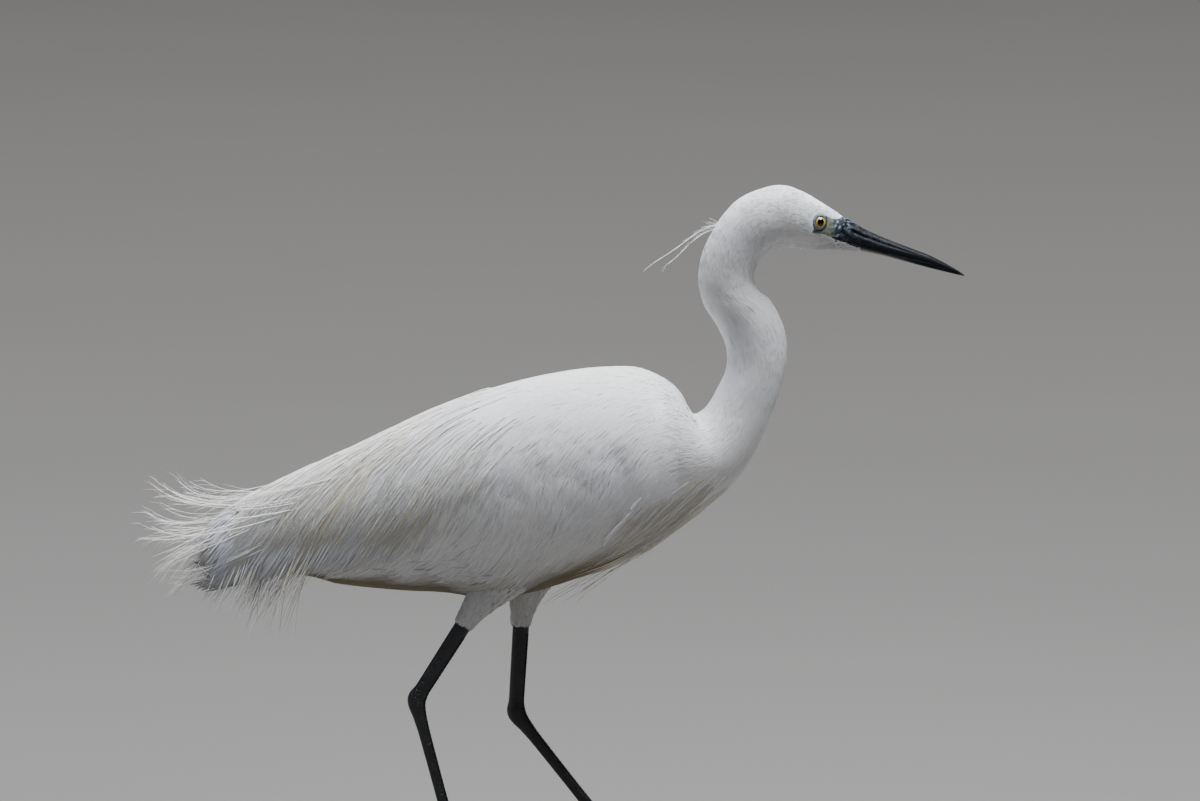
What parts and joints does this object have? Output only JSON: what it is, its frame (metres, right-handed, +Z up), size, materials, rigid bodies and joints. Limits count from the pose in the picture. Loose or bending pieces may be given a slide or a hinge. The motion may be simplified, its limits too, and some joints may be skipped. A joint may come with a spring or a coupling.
{
  "type": "little egret",
  "caption": "Still, life-size model of a small white heron standing in mid-step, with a dagger bill, an S-bent neck, folded wings and loose back and breast plumes.",
  "frame": {"origin": "on the floor under the middle of the model's box", "axes": "+X forward, the way the bill points; +Y to the bird's left; +Z up"},
  "size_m": [0.5224, 0.1114, 0.4244],
  "materials": {
    "white_plumage": "soft, dry feather",
    "leg_scutes": "semi-matt scaly skin",
    "foot_skin": "semi-matt scaly skin",
    "claw_horn": "satin horn",
    "bill_horn": "satin horn",
    "iris": "wet gloss"
  },
  "bodies": {
    "root": {"bill_lower": "bill_horn", "bill_upper": "bill_horn", "claw_left_hind": "claw_horn", "claw_left_inner": "claw_horn", "claw_left_middle": "claw_horn", "claw_left_outer": "claw_horn", "claw_right_hind": "claw_horn", "claw_right_inner": "claw_horn", "claw_right_middle": "claw_horn", "claw_right_outer": "claw_horn", "eye_left": "iris", "eye_right": "iris", "foot_left": "foot_skin", "foot_right": "foot_skin", "head": "white_plumage", "mantle": "white_plumage", "neck_lower": "white_plumage", "neck_upper": "white_plumage", "tail": "white_plumage", "tarsus_left": "leg_scutes", "tarsus_right": "leg_scutes", "thigh_left": "white_plumage", "thigh_right": "white_plumage", "tibia_left": "leg_scutes", "tibia_right": "leg_scutes", "torso": "white_plumage", "wing_left": "white_plumage", "wing_right": "white_plumage"}
  },
  "joints": []
}
